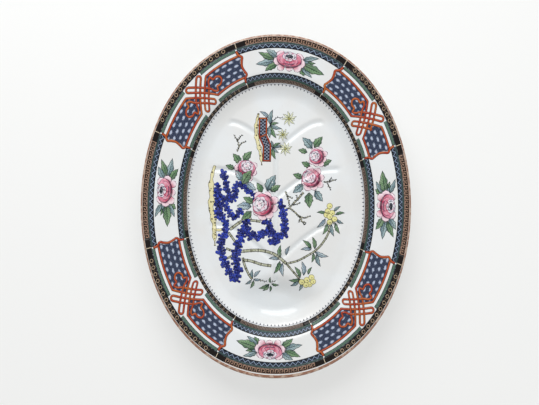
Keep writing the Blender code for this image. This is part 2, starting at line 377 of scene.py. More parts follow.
def makeDish(material):
    print("shaping the dish")
    half = dish["halfWidth"]
    bm = bmesh.new()
    corners = [bm.verts.new((half - inset, 0, -share)) for inset, share in dishSection()]
    edges = [bm.edges.new(pair) for pair in zip(corners, corners[1:])]
    bmesh.ops.spin(bm, geom=corners + edges, cent=(0, 0, 0), axis=(0, 0, 1), dvec=(0, 0, 0),
                   angle=math.tau, steps=dish["spinSteps"], use_merge=True)
    bmesh.ops.remove_doubles(bm, verts=bm.verts[:], dist=1e-7)
    poolAndShade = bm.verts.layers.float.new("poolAndShade")
    lip = bm.verts.layers.float.new("lip")
    places = np.array([vert.co for vert in bm.verts])
    reach, share = np.hypot(places[:, 0], places[:, 1]), -places[:, 2]
    angle = np.arctan2(places[:, 1], places[:, 0])
    ringX, ringY = ovalPoint(np.minimum(half - reach, floorInset), angle)
    inwards = np.minimum(1, reach / (half - floorInset))
    x, y = ringX * inwards, ringY * inwards
    inset = np.where(reach > half - floorInset, half - reach, insetAt(x, y))
    sink = channelSink(x, y)
    face = faceHeight(x, y, inset) - sink * (share < 0.01)  # the channels show on the face only
    height = face + (backHeight(x, y, inset) - face) * share
    # deeper in the channels and across the well, more of the bluish grey: glaze pooling and painted shade
    deep = np.maximum(sink / tree["depth"], 0.8 * wellShare(x, y, inset))
    lipWidth = (dish["lipColour"] + 0.7 * footSlip(angle)) * mm
    coloured = np.clip(0.5 + (lipWidth - inset) / (dish["lipColour"] * mm), 0, 1)
    for vert, place, vertPoolAndShade, vertLip in zip(bm.verts, zip(x, y, height), deep, coloured):
        vert.co = place
        vert[poolAndShade] = vertPoolAndShade
        vert[lip] = float(vertLip)
    bmesh.ops.recalc_face_normals(bm, faces=bm.faces[:])
    surface = BVHTree.FromBMesh(bm)
    piece = toObject(bm, "platterDish", material)
    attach(piece, "root")
    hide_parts("platter_body")
    return surface


surface = makeDish(makeDishMaterial())


def finishFeet():  # the feet keep their solids: glazed sides, bare clay where they stand
    material, place, glaze = startMaterial("footGlaze")
    grit = noise(place, 1400.0)
    height = put(place.nodeTree, "SeparateXYZ", {0: place}, 2)
    bare = fade(height + (grit - 0.5) * 0.0005, 0.0004, 0.0008, 1.0, 0.0)
    clay = mixColours(fade(grit, 0.4, 0.7), glazeColours["clay"], glazeColours["clayDark"])
    white = mixColours(glaze["Mottle"], glazeColours["white"], glazeColours["stain"])
    rough = glaze["Roughness"] + bare * 0.5
    glossOver(material, glaze, mixColours(bare, white, clay), coat=0.35, shine=0.5, roughness=rough)
    for name in ("well_foot_rim", "bar_foot_right", "bar_foot_left"):
        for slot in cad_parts[name].material_slots:
            slot.material = material


finishFeet()

# Laying decoration on the dish
# A layer's places are millimetres on the floor, or millimetres along and in from the lip on the border.
borderLine = 38 * mm  # lengths along the border are measured at this inset
ringAngles = np.linspace(0, math.tau, 4001)


def lengthsAlong(path):
    return np.concatenate([[0], np.cumsum(np.hypot(*np.diff(path, axis=0).T))])


ringLengths = lengthsAlong(np.stack(ovalPoint(borderLine, ringAngles), axis=1)) / mm
borderLength = ringLengths[-1]
noEdge = 9.0  # a distance to the edge that is too long for any outline
borderLifts = {  # how far each layer's top stands over the glaze, in millimetres
    "keyBandGround": 0.08, "keyBandLines": 0.13, "chainBandGround": 0.08, "chainBandRings": 0.13,
    "bandDividers": 0.14, "latticeBands": 0.08, "greenLines": 0.09, "greenHatchedBands": 0.08,
    "fineLines": 0.10, "innerTeeth": 0.12, "panelFields": 0.08, "panelRopes": 0.19,
    "panelBrackets": 0.25, "borderLeaves": 0.12, "borderPeonies": 0.20, "borderPeonyHeads": 0.30,
}
floorLifts = {
    "gardenLeaves": 0.18, "gardenPeonies": 0.26, "gardenPeonyHeads": 0.36, "leavesOverPeony": 0.42,
    "twigs": 0.10, "bambooStalks": 0.12, "bambooJoints": 0.16, "coral": 0.15, "rockwork": 0.09,
    "bridgeDeck": 0.14, "bridgeRails": 0.20, "daisies": 0.20, "berries": 0.26,
}
shellReach = 0.06  # millimetres that each layer reaches down into the glaze
stripCell = (2.6, 1.2)  # millimetres along and across the border


def alongBorder(degrees):  # millimetres along the border for an angle, counted from the right
    return float(np.interp(math.radians(degrees), ringAngles, ringLengths))


def newLayer():
    bm = bmesh.new()
    layers = {
        "uv": bm.loops.layers.uv.new("lay"),
        "edge": bm.verts.layers.float.new("edgeMm"),
        "paint": bm.verts.layers.float_color.new("paint"),
    }
    return bm, layers


def addPatch(layer, cells, place, paint, repeats=(1, 1)):
    # a grid of cells that place(u, v) puts at x, y, lift and distance to the patch's edge
    bm, layers = layer
    made = bmesh.ops.create_grid(bm, x_segments=cells[0], y_segments=cells[1], size=0.5)["verts"]
    spots = {}
    faces = set()
    for vert in made:
        u, v = vert.co.x + 0.5, vert.co.y + 0.5
        spots[vert] = (u * repeats[0], v * repeats[1])
        x, y, lift, edge = place(u, v)
        vert.co = (x, y, lift)
        vert[layers["edge"]] = edge
        vert[layers["paint"]] = paint(u, v) if callable(paint) else paint
        faces.update(vert.link_faces)
    for face in faces:
        for loop in face.loops:
            loop[layers["uv"]].uv = spots[loop.vert]


def addStrip(layer, start, end, outer, inner, paint, pitch=0, way=1):
    # a stretch of border band between two insets; pitch is the length of one repeat of its pattern,
    # and a way of -1 turns the pattern over
    count = max(1, round((end - start) / pitch)) if pitch else 1
    cells = (max(1, round((end - start) / stripCell[0])), math.ceil(abs(inner - outer) / stripCell[1]))
    def place(u, v):
        return start + (end - start) * u, outer + (inner - outer) * v, 0.0, noEdge
    addPatch(layer, cells, place, paint, (count, way))


def addRibbon(layer, path, width, paint, lift=0.0, across=2, closed=False, pitch=1.0, lifts=None):
    # a band of this width, or width(share), along a dense path; lifts gives a height for each point
    path = np.asarray(path, float)
    lengths = lengthsAlong(path)
    if closed:
        around = np.vstack([path[-2], path, path[1]])
    else:
        around = np.vstack([2 * path[0] - path[1], path, 2 * path[-1] - path[-2]])
    runs = around[2:] - around[:-2]
    runs /= np.hypot(*runs.T)[:, None]
    def place(u, v):
        i = round(u * (len(path) - 1))
        half = (width(lengths[i] / lengths[-1]) if callable(width) else width) / 2
        side = 2 * v - 1
        x, y = path[i] + aside(runs[i]) * side * half
        fromEnd = noEdge if closed else min(lengths[i], lengths[-1] - lengths[i])
        return x, y, lift + (lifts[i] if lifts else 0), min(half * (1 - abs(side)), fromEnd)
    addPatch(layer, (len(path) - 1, across), place, paint, (lengths[-1] / pitch, 1))


def densePath(points, step):  # straight runs between corners
    path = []
    for start, end in zip(points, points[1:]):
        count = max(1, round(math.dist(start, end) / step))
        path += [[a + (b - a) * i / count for a, b in zip(start, end)] for i in range(count)]
    return np.array(path + [points[-1]], float)


def aside(run):  # a quarter turn to the left
    return np.array([-run[1], run[0]])


def pathAt(path, lengths, at):  # the point this far along, and the way the path runs there
    i = min(len(path) - 1, max(1, int(np.searchsorted(lengths, at))))
    run = path[i] - path[i - 1]
    return path[i], run / math.hypot(*run)


def runsAlong(path):  # from each point's neighbour before it to the one after
    last = len(path) - 1
    return [path[min(i + 1, last)] - path[max(i - 1, 0)] for i in range(len(path))]


def slipped(along, inset):  # where a place on the border lands once its transfer has slipped
    near = np.exp(-((along % borderLength - alongBorder(slip["cornerAt"])) / slip["cornerReach"]) ** 2)
    along = along + slip["cornerShift"] * near * np.clip((slip["cornerFrom"] - inset) / slip["cornerRun"], 0, 1)
    angle = np.interp(along % borderLength, ringLengths, ringAngles)
    return ovalPoint((inset + footSlip(angle) * (1 - inset / slip["footRun"])) * mm, angle)


def finishLayer(layer, name, material):
    bm = layer[0]
    places = np.array([vert.co for vert in bm.verts])
    if name in borderLifts:
        lift = borderLifts[name]
        x, y = slipped(places[:, 0], places[:, 1])
    else:
        lift = floorLifts[name]
        x, y = places[:, 0] * mm, places[:, 1] * mm
    for vert, vx, vy in zip(bm.verts, x, y):
        hit = surface.ray_cast(Vector((vx, vy, 0.2)), Vector((0, 0, -1)))[0]
        vert.co = (vx, vy, hit.z + (lift + vert.co.z) * mm)
    bmesh.ops.remove_doubles(bm, verts=bm.verts[:], dist=1e-6)
    bmesh.ops.dissolve_degenerate(bm, dist=1e-7, edges=bm.edges[:])
    bm.normal_update()
    bmesh.ops.reverse_faces(bm, faces=[face for face in bm.faces if face.normal.z < 0])
    piece = toObject(bm, name, material)
    shell = piece.modifiers.new("Shell", "SOLIDIFY")
    shell.thickness = (lift + shellReach) * mm
    shell.offset = -1
    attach(piece, "root")
    print("laid", name, len(piece.data.polygons))


# The printed and enamelled finishes
def makeEnamel(name, look):
    # look: the outline's colour and width, thin patches, streaks along the shape, a leaf's veins, and dots
    material, place, glaze = startMaterial(name)
    spot, u, v = layPlace(place)
    line, lineWidth = look["line"], look["lineWidth"]
    wash = noise(place, look.get("washScale", 220.0), 3.0)
    thin = fade(wash, 0.35, 0.75, 0.0, look.get("wash", 0.3))
    base = mixColours(thin, attribute(place, "paint", "Color"), look.get("washColour", colour(235, 238, 240)))
    if "streaks" in look:
        hair = noise(put(place.nodeTree, "Mapping", {"Vector": spot, "Scale": look["streaks"]}), 1.0, 1.0)
        base = mixColours(fade(hair, 0.56, 0.66, 0.0, look["streakShare"]), base, line)
    if "veins" in look:
        fromRib = abs(v - 0.5)
        side = pingPong(u * look["veins"] - fromRib * 3.4)
        veins = calc("MAXIMUM", fade(fromRib, 0.03, 0.07, 0.9, 0.0), fade(side, 0.06, 0.14, 0.8, 0.0))
        base = mixColours(veins, base, line)
    if "dots" in look:
        base = mixColours(fade(cellDistance(place, look["dots"]), 0.26, 0.36, 0.85, 0.0), base, line)
    ragged = attribute(place, "edgeMm") + (wash - 0.5) * 0.5
    outline = fade(ragged, lineWidth * 0.7, lineWidth * 1.3, 1.0, 0.0)
    glossOver(material, glaze, mixColours(outline, base, line))
    return material


def makePaintedInk(name, other, share):  # each shape's own printed colour, with thin and heavy patches
    material, place, glaze = startMaterial(name)
    patches = fade(noise(place, 420.0, 3.0), 0.45, 0.75, 0.0, share)
    glossOver(material, glaze, mixColours(patches, attribute(place, "paint", "Color"), other))
    return material


def bandPattern(name, ground, light, kind):
    # a repeat of the band's pattern for each whole step of the map's first coordinate
    material, place, glaze = startMaterial(name)
    spot, u, v = layPlace(place)
    wash = noise(place, 420.0, 3.0)
    if kind == "cable":  # a zigzag with a dot in each of its hollows, and a line along one side
        swing = pingPong(u)
        level = calc("FRACT", v) - 0.43
        mask = fade(abs(level - (swing - 0.25) * 1.25), 0.09, 0.15, 1.0, 0.0)
        for middle, side in ((0.0, 0.2), (0.5, -0.2)):
            away = (swing - middle) ** 2.0 + (level - side) ** 2.0
            mask = calc("MAXIMUM", mask, fade(away, 0.003, 0.006, 0.5, 0.0))
        mask = calc("MAXIMUM", mask, fade(abs(level + 0.39), 0.03, 0.06, 0.5, 0.0))
    if kind == "eyes":  # rows of pale eyes, each row half a step on from the last
        rows = v * 4.0
        across = (calc("FRACT", u + calc("FLOOR", rows) * 0.5) - 0.5) * 2.9
        up = (calc("FRACT", rows) - 0.5) * 4.0
        away = calc("SQRT", across ** 2.0 + up ** 2.0) + (wash - 0.46) * 1.5
        weave = put(place.nodeTree, "TexWave", {"Vector": spot, "Scale": 9.0, "Distortion": 3.0}, 1)
        mask = calc("MAXIMUM", fade(away, 0.5, 1.22, 1.0, 0.0), fade(weave, 0.6, 1.0, 0.0, 0.2))
    if kind == "stripes":  # fine lines along the band, hatched across
        mask = fade(pingPong(v * 3.0), 0.12, 0.3) * fade(pingPong(u + v * 0.8), 0.1, 0.3, 0.45, 1.0)
    if kind == "net":  # slanting lines that cross
        lines = calc("MINIMUM", pingPong(u + v * 2.0), pingPong(u - v * 2.0))
        mask = fade(lines, 0.05, 0.11, 1.0, 0.0)
    base = mixColours(mask, ground, light)
    glossOver(material, glaze, mixColours(fade(wash, 0.5, 0.8, 0.0, 0.08), base, light))
    return material


ink = {
    "brown": colour(30, 21, 17),
    "tan": colour(198, 160, 136),
    "innerBrown": colour(46, 38, 34),
    "innerTan": colour(166, 144, 130),
    "black": colour(22, 16, 14),
    "cream": colour(176, 152, 126),
    "divider": colour(204, 188, 160),
    "green": colour(50, 76, 68),
    "hatchGreen": colour(112, 140, 120),
    "navy": colour(6, 14, 26),
    "paleBlue": colour(124, 140, 162),
    "slate": colour(20, 33, 62),
    "eye": colour(178, 189, 210),
    "red": colour(172, 66, 42),
    "redBrown": colour(150, 52, 42),
    "redDark": colour(92, 34, 24),
    "gold": colour(190, 122, 54),
    "blueBlack": colour(24, 34, 50),
    "white": colour(229, 233, 235),
    "tooth": colour(34, 42, 62),
    "paleLine": colour(120, 122, 142),
    "net": colour(158, 166, 184),
}

# The border
panels = [  # angles where each corner panel starts, has its knot, and ends
    {"start": 21.3, "knot": 35.7, "end": 60.9},
    {"start": 107.9, "knot": 131.2, "end": 153.9},
    {"start": 194.4, "knot": 217.6, "end": 243.0},
    {"start": 292.0, "knot": 316.9, "end": 339.9},
]
band = {  # insets in millimetres
    "outer": (2.9, 10.6), "outerLine": (10.6, 11.5), "outerGreen": (11.2, 13.2), "outerLattice": (13.2, 20.3),
    "innerLattice": (56.0, 62.7), "innerGreen": (62.7, 65.2), "inner": (65.2, 70.0), "innerLine": (70.0, 70.8),
    "panelGreenOuter": (11.9, 15.6), "panelGreenInner": (60.6, 64.2), "paleLine": (71.8, 72.3),
    "teeth": (72.0, 74.8),
    "blackRun": 13.0,  # how far the black ground runs past each end of a panel
    "greenGap": 17.0,  # left free on both sides of a knot
    "keyPitch": 6.2, "chainPitch": 9.3, "latticePitch": 7.8, "hatchPitch": 2.4, "teethPitch": 7.4,
    "toothWidth": 2.7,
}


def reserves():  # the stretches between the corner panels, in millimetres along the border
    for i, panel in enumerate(panels):
        after = panels[(i + 1) % len(panels)]
        start, end = alongBorder(panel["end"]), alongBorder(after["start"])
        yield start, end + (borderLength if end < start else 0)


def panelSpans():
    for panel in panels:
        yield alongBorder(panel["start"]), alongBorder(panel["knot"]), alongBorder(panel["end"])


def makeBands():
    keys, keyLines, chains, rings, lattice, green, hatch, lines, dividers = (newLayer() for _ in range(9))
    blackRun, gap = band["blackRun"], band["greenGap"]
    bandPairs = ((band["outer"], 1.0, "brown", "tan"), (band["inner"], 0.95, "innerBrown", "innerTan"))
    for start, end in reserves():
        for sides, share, ground, line in bandPairs:
            addStrip(keys, start + blackRun, end - blackRun, *sides, ink[ground])
            addKeyLines(keyLines, start + blackRun, end - blackRun, *sides, band["keyPitch"] * share, ink[line])
        for name, way in (("outerLattice", 1), ("innerLattice", -1)):
            addStrip(lattice, start, end, *band[name], ink["navy"], band["latticePitch"], way)
        for name in ("outerGreen", "innerGreen"):
            addStrip(green, start, end, *band[name], ink["green"])
    for start, knot, end in panelSpans():
        for (outer, inner), *_ in bandPairs:
            addStrip(chains, start - blackRun, end + blackRun, outer, inner, ink["black"])
            addChain(rings, start + blackRun, end - blackRun, (outer + inner) / 2, inner - outer,
                     band["chainPitch"])
            for place in (start, end):
                addRibbon(dividers, densePath([(place, outer), (place, inner)], 1.2), 0.9, ink["divider"])
        for outer, inner in (band["panelGreenOuter"], band["panelGreenInner"]):
            for near, far in ((start + 2, knot - gap), (knot + gap, end - 2)):
                addStrip(hatch, near, far, outer, inner, ink["green"], band["hatchPitch"])
                addStrip(lines, near, far, outer - 0.7, outer + 0.2, ink["blueBlack"])
                addStrip(lines, near, far, inner - 0.2, inner + 0.8, ink["blueBlack"])
    for name, paint in (("outerLine", "blueBlack"), ("innerLine", "blueBlack"), ("paleLine", "paleLine")):
        addStrip(lines, 0, borderLength, *band[name], ink[paint])
    latticeBlue = bandPattern("latticeBlue", ink["navy"], ink["paleBlue"], "cable")
    finishLayer(keys, "keyBandGround", makePaintedInk("keyGround", ink["tan"], 0.12))
    finishLayer(keyLines, "keyBandLines", makePaintedInk("keyLine", ink["brown"], 0.35))
    finishLayer(chains, "chainBandGround", makePaintedInk("chainBlack", ink["brown"], 0.4))
    finishLayer(rings, "chainBandRings", makePaintedInk("chainCream", ink["brown"], 0.45))
    finishLayer(dividers, "bandDividers", makePaintedInk("dividerCream", ink["white"], 0.3))
    finishLayer(lattice, "latticeBands", latticeBlue)
    finishLayer(green, "greenLines", makePaintedInk("lineGreen", ink["blueBlack"], 0.5))
    hatchedGreen = bandPattern("hatchedGreen", ink["green"], ink["hatchGreen"], "stripes")
    finishLayer(hatch, "greenHatchedBands", hatchedGreen)
    finishLayer(lines, "fineLines", makePaintedInk("fineBlue", ink["white"], 0.3))


def addKeyLines(layer, start, end, outer, inner, pitch,
                paint):  # hooks that stand on a line, as in a running key
    count = max(1, round((end - start) / pitch))
    step, height = (end - start) / count, inner - outer
    hook = [(0.0, 0.16), (0.0, 0.82), (0.66, 0.82), (0.66, 0.40), (0.34, 0.40)]
    for edge in (0.05, 0.97):
        middle = outer + edge * height
        addStrip(layer, start, end, middle - 0.025 * height, middle + 0.025 * height, paint)
    for i in range(count):
        at = start + (i + 0.14) * step
        points = [(at + x * step, outer + y * height) for x, y in hook]
        for one, other in zip(points, points[1:]):
            addRibbon(layer, densePath([one, other], 1.8), 0.25 + 0.055 * height, paint, across=1)


def addChain(layer, start, end, middle, height, pitch):  # rings in a row with small crosses between them
    count = max(1, round((end - start) / pitch))
    step = (end - start) / count
    turns = np.linspace(0, math.tau, 17)
    dim = mixPaint(ink["black"], ink["cream"], 0.4)
    for i in range(count):
        at = start + (i + 0.5) * step
        ring = np.stack([at + 0.29 * height * np.cos(turns), middle + 0.31 * height * np.sin(turns)], axis=1)
        addRibbon(layer, ring, 0.12 * height, ink["cream"], closed=True, across=1)
        for rise in (0.2 * height, -0.2 * height):
            cross = [(at + 0.42 * step, middle - rise), (at + 0.58 * step, middle + rise)]
            addRibbon(layer, densePath(cross, 1.5), 0.05 * height, dim, across=1)


def makeTeeth():
    teeth = newLayer()
    count = round(borderLength / band["teethPitch"])
    outer, inner = band["teeth"]
    for i in range(count):
        at = borderLength * i / count
        def place(u, v):
            across = (v - 0.5) * band["toothWidth"] * (1 - u) ** 0.7
            return at + across, outer + (inner - outer) * u, 0.0, noEdge
        addPatch(teeth, (4, 2), place, ink["tooth"])
    finishLayer(teeth, "innerTeeth", makePaintedInk("toothBlue", ink["white"], 0.2))


panel = {  # millimetres from the knot, and across from the panel's middle
    "middle": 38.2, "halfHeight": 16.3,
    "endShape": [(-1.2, -24.5), (-0.2, -18.0), (4.2, -13.0), (2.4, -8.0), (0.4, 0.0), (2.4, 8.0), (4.2, 13.0),
                 (-0.2, 18.0), (-1.2, 24.5)],
    "eyePitch": 11.4,
    "bulge": 2.6, "bulgeAt": 12.5, "bulgeReach": 4.0,  # the pointed end's two shoulders
}
rope = {  # the knot's strands run at 45 degrees to the border, these far either side of its middle
    "near": 3.6, "far": 10.7, "outwardReach": 26.0, "inwardReach": 23.0, "width": 3.5, "weave": 0.05,
    "trefoil": [(10.0, 15.0), (8.4, 20.5), (10.2, 26.0), (15.4, 24.0), (19.5, 28.4), (25.5, 29.6)],
    "raise": 0.012,  # one half of a knot lies over the other
    "trefoilFits": 56.0,  # the shortest sub-panel that has room for it
    "crossesWithin": 13.5,
    "look": {"line": ink["redDark"], "lineWidth": 0.68, "wash": 0.6, "washColour": ink["gold"],
             "washScale": 60.0},
}


def ropePath(length):
    # a sub-panel's frame, its two loops and its trefoil are one rope, as points along and across from the knot
    near, far, high = rope["near"], rope["far"], panel["halfHeight"]
    root, turnRadius, middle = math.sqrt(2), (far - near) / 2, (near + far) / 2
    railX, railY = (length - high) / root, (length + high) / root
    corner = near + high * root
    down, left = rope["inwardReach"] - turnRadius, rope["outwardReach"] - turnRadius
    halfTurn = [(turnRadius * math.cos(t), turnRadius * math.sin(t)) for t in np.linspace(0, math.pi, 9)]
    path = [(railX, railY), (near, corner)] + [(middle - c, -down - s) for c, s in halfTurn]
    if length > rope["trefoilFits"]:
        half = rope["trefoil"]
        bow = [(far, 11.0), *half, (28.0, 28.0), *((y, x) for x, y in half[::-1]), (11.0, far)]
        path += [tuple(spot) for spot in smoothPath(bow, 1.2)]
    else:
        path += [(far, 12.5), (12.5, far)]
    path += [(-left - s, middle + c) for c, s in halfTurn] + [(corner, near), (railY, railX)]
    path = densePath(path, 1.2)
    heights = []
    for (x, y), run in zip(path, runsAlong(path)):  # over and under in turn where the strands cross
        upright = abs(run[1]) > abs(run[0])
        side, at = (x - middle, y) if upright else (middle - y, x)
        weave = rope["weave"] * math.cos(math.pi * (at - far) / (far - near))
        over = side > 0 if upright else side >= 0
        heights.append(0.0 if max(abs(x), abs(y)) > rope["crossesWithin"] else weave if over else -weave)
    return [((x + y) / root, (x - y) / root) for x, y in path], heights


def makePanels():
    fields, ropes, brackets = newLayer(), newLayer(), newLayer()
    bm, layers = fields
    high, middle = panel["halfHeight"], panel["middle"]
    neck = rope["near"] * math.sqrt(2)
    for start, knot, end in panelSpans():
        for side, length in ((-1, knot - start), (1, end - knot)):
            def spot(p, q):
                return knot + side * p, middle + q
            def place(u, v):
                p = neck + 1 + (length - 2 - neck) * u
                q = (2 * v - 1) * min(high, p - neck)
                shoulder = math.exp(-((abs(q) - panel["bulgeAt"]) / panel["bulgeReach"]) ** 2)
                return (*spot(p + panel["bulge"] * shoulder * u**6, q), 0.0, noEdge)
            before = len(bm.faces)
            addPatch(fields, (round(length / 1.3), 26), place, ink["slate"])
            bm.faces.ensure_lookup_table()
            for face in bm.faces[before:]:  # the pattern follows the border, not the pointed outline
                for loop in face.loops:
                    p, q = side * (loop.vert.co.x - knot), loop.vert.co.y - middle
                    loop[layers["uv"]].uv = (p / panel["eyePitch"], (q + high) / (2 * high))
            path, heights = ropePath(length)
            lifts = [(height + rope["raise"]) * side for height in heights]
            addRibbon(ropes, [spot(p, q) for p, q in path], rope["width"], ink["red"], lifts=lifts)
            bracket = smoothPath([spot(length + e, q) for e, q in panel["endShape"]], 1.2)
            addRibbon(brackets, bracket, rope["width"] * 1.1, ink["red"])
    redEnamel = makeEnamel("redEnamel", rope["look"])
    finishLayer(fields, "panelFields", bandPattern("eyedField", ink["slate"], ink["eye"], "eyes"))
    finishLayer(ropes, "panelRopes", redEnamel)
    finishLayer(brackets, "panelBrackets", redEnamel)
    return redEnamel


# Flowers and leaves
flowerPaint = {
    "rose": colour(192, 62, 92),
    "crimson": colour(84, 12, 38),
    "roseDark": colour(104, 50, 84),
    "pink": colour(222, 142, 164),
    "blush": colour(240, 218, 226),
    "head": colour(230, 222, 232),
    "white": colour(232, 236, 240),
    "heart": colour(22, 16, 34),
    "violet": colour(48, 60, 84),
}
leafPaint = {  # at the foot, along the shaded half and along the light half
    "green": (colour(16, 40, 38), colour(44, 84, 62), colour(132, 168, 122)),
    "sea": (colour(14, 34, 46), colour(48, 84, 98), colour(178, 202, 208)),
    "pale": (colour(20, 34, 60), colour(88, 120, 150), colour(206, 222, 230)),
    "daisy": (colour(148, 152, 100), colour(200, 202, 156), colour(232, 234, 206)),
}
petalLook = {
    "line": flowerPaint["roseDark"], "lineWidth": 0.66, "streaks": (0.22, 9.0, 1.0), "streakShare": 0.25,
    "wash": 0.25, "washScale": 190.0,
}
headLook = {**petalLook, "line": flowerPaint["violet"], "lineWidth": 0.52, "streakShare": 0.2}
leafLook = {
    "line": colour(14, 32, 36), "lineWidth": 0.78, "veins": 0.26,
    "wash": 0.22, "washColour": colour(206, 216, 190), "washScale": 150.0,
}


def mixPaint(one, other, share):
    share = min(1.0, max(0.0, share))
    return tuple(a + (b - a) * share for a, b in zip(one, other))


def straight(a, b):  # flat places used as they are
    return a, b


def turned(middle, degrees):  # flat places about a middle, the first axis pointing this way
    c, s = math.cos(math.radians(degrees)), math.sin(math.radians(degrees))
    return lambda a, b: (middle[0] + a * c - b * s, middle[1] + a * s + b * c)


def addLeaf(layer, spot, base, tip, width, kind, bend=0.0, lift=0.0):
    # a pointed leaf, dark at its foot and tip, with one half lighter than the other
    base, run = np.array(base, float), np.subtract(tip, base, dtype=float)
    length = math.hypot(*run)
    side = aside(run) / length
    deep, dark, light = leafPaint[kind]
    def place(u, v):
        lobes = 1 + 0.13 * math.cos(7 * math.pi * u + 0.9 * v)
        half = width / 2 * max(0.0, math.sin(math.pi * u ** 0.8)) ** 1.05 * lobes
        a, b = base + run * u + side * (bend * length * 4 * u * (1 - u) + (2 * v - 1) * half)
        return *spot(a, b), lift, min(half * (1 - abs(2 * v - 1)), 0.5 * length * u, 0.5 * length * (1 - u))
    def paint(u, v):
        body = mixPaint(dark, light, 0.05 + 0.5 * u if v < 0.49 else 0.4 + 0.6 * u)
        return mixPaint(body, deep, max(0.9 - 3.2 * u, 4 * u - 3.5))
    addPatch(layer, (16, 4), place, paint, (length, 1))


def addPetal(layer, spot, foot, tip, width, footPaint, tipPaint, lift):
    # a petal that fans out to a ruffled edge
    foot, run = np.array(foot, float), np.subtract(tip, foot, dtype=float)
    length = math.hypot(*run)
    side = aside(run) / length
    def place(u, v):
        a = 2 * v - 1
        half = width / 2 * math.sin(0.5 * math.pi * min(1.0, 0.22 + u * 0.78)) * math.sqrt(1.02 - 0.35 * u**4)
        reach = u * (1 - 0.34 * a * a * u + 0.03 * math.cos(3 * math.pi * a) * u)
        p, q = foot + run * reach + side * a * half
        return *spot(p, q), lift, min((1 - u) * length * 0.8, half * (1 - abs(a)) * 1.2)
    def paint(u, v):
        return mixPaint(footPaint, tipPaint, (u - 0.25) * 1.9)
    addPatch(layer, (6, 6), place, paint, (length, 1))


def addDisc(layer, spot, middle, radius, paint, lift, cells, squeeze=1.0):
    def place(u, v):
        turn = math.tau * v
        a, b = middle[0] + radius * u * math.cos(turn), middle[1] + radius * squeeze * u * math.sin(turn)
        return *spot(a, b), lift, (1 - u) * radius
    addPatch(layer, cells, place, paint, (radius, 1))


def addPeony(layer, heads, spot, along, across, heart=False):
    # spot's first axis points to the pale head; a rounded cup and a skirt of petals lie behind it
    blush, pink, rose = flowerPaint["blush"], flowerPaint["pink"], flowerPaint["rose"]
    headAt, headReach = (0.44, 0.44) if heart else (0.34, 0.54)
    def ring(layer, count, start, end, footAt, tipAt, shift, breadth, feet, tips, rise):
        for i in range(count):  # no two petals alike
            stray = math.sin(37.0 * (i + 1) * tipAt + 11.0 * count)
            other = math.cos(53.0 * (i + 2) * tipAt + 7.0 * along)
            share = i / max(1, count - 1) + 0.2 / count * stray
            turn = math.radians(start + (end - start) * share)
            reach = tipAt * (1 + 0.07 * other)
            c, s = math.cos(turn), math.sin(turn)
            foot = ((shift + footAt * c) * along, footAt * s * across)
            tip = ((shift + reach * c) * along, reach * s * across)
            wide = breadth * (1 + 0.14 * stray) * (along + across) / 2
            addPetal(layer, spot, foot, tip, wide, feet, tips, rise + 0.004 * (i % 3))
    def stroke(layer, start, end, reach, shift, width, paint, rise):  # a drawn line that swells in its middle
        turns = np.radians(np.linspace(start, end, 15))
        path = [spot((shift + reach * math.cos(t)) * along, reach * math.sin(t) * across) for t in turns]
        addRibbon(layer, path, lambda share: width * (0.25 + 0.75 * math.sin(math.pi * share)), paint,
                  lift=rise)
    ring(layer, 7, 44, 316, 0.36, 1.0, 0.0, 0.74, rose, blush, 0.0)
    def cupPlace(u, v):
        turn = math.tau * v
        wave = 1 + 0.03 * math.cos(6 * turn + 1)
        a, b = (0.16 + 0.72 * u * wave * math.cos(turn)) * along, 0.74 * u * wave * math.sin(turn) * across
        return *spot(a, b), 0.04, (1 - u) * 0.72 * (along + across) / 2
    def cupPaint(u, v):
        turn = math.tau * v
        return mixPaint(rose, pink, 0.5 + 0.95 * u * math.cos(turn + 0.3) + 0.16 * math.sin(5 * turn))
    addPatch(layer, (6, 28), cupPlace, cupPaint, (along, 1))
    stroke(layer, 88, 266, 0.69, 0.15, 0.2 * along, flowerPaint["crimson"], 0.05)
    ring(layer, 4, 108, 250, 0.1, 0.60, 0.17, 0.56, rose, pink, 0.06)
    stroke(layer, 118, 228, 0.45, 0.18, 0.11 * along, flowerPaint["crimson"], 0.075)
    ring(heads, 7, -150, 165, 0.10, headReach, headAt, 0.95 * headReach, pink, flowerPaint["head"], 0.0)
    ring(heads, 4, -110, 170, 0.03, 0.66 * headReach, headAt + 0.04, 0.8 * headReach, blush,
         flowerPaint["white"], 0.02)
    for start, reach in ((20, 0.36), (150, 0.30), (262, 0.45), (75, 0.72), (205, 0.65), (300, 0.80)):
        stroke(heads, start, start + 46, reach * headReach, headAt + 0.02, 0.075 * along,
               flowerPaint["violet"], 0.035)
    if heart:
        for side, breadth in ((-0.13, 0.08), (0.0, 0.12), (0.14, 0.075)):
            addDisc(heads, spot, (0.46 * along, side * across), breadth * across, flowerPaint["heart"], 0.045,
                    (2, 8), 1.1)


borderFlowers = {
    "at": (0.0, 83.3, 173.9, 267.0),
    "inset": 38.3, "along": 15.6, "across": 26.0,
    "leaves": [  # kind, base and tip, along the border and in from the flower's middle
        ("sea", (-17, 2), (-31, 3), 9.0), ("green", (-22, -2), (-45.5, -14.5), 9.5),
        ("sea", (-18, -4), (-34, -16.5), 9.5),
        ("sea", (-18, 0), (-52.5, 2), 10.5), ("green", (-17, 5), (-39, 14.5), 10.0),
        ("sea", (17, -1), (34, -3), 8.0),
        ("green", (20, -2), (38, -8), 6.5), ("sea", (19, -4), (40, -16.5), 7.5),
        ("green", (19, 0), (56.5, 1.3), 13.0),
        ("green", (17, 6), (29, 16), 9.0), ("sea", (20, 4), (42, 13.5), 7.5),
    ],
}


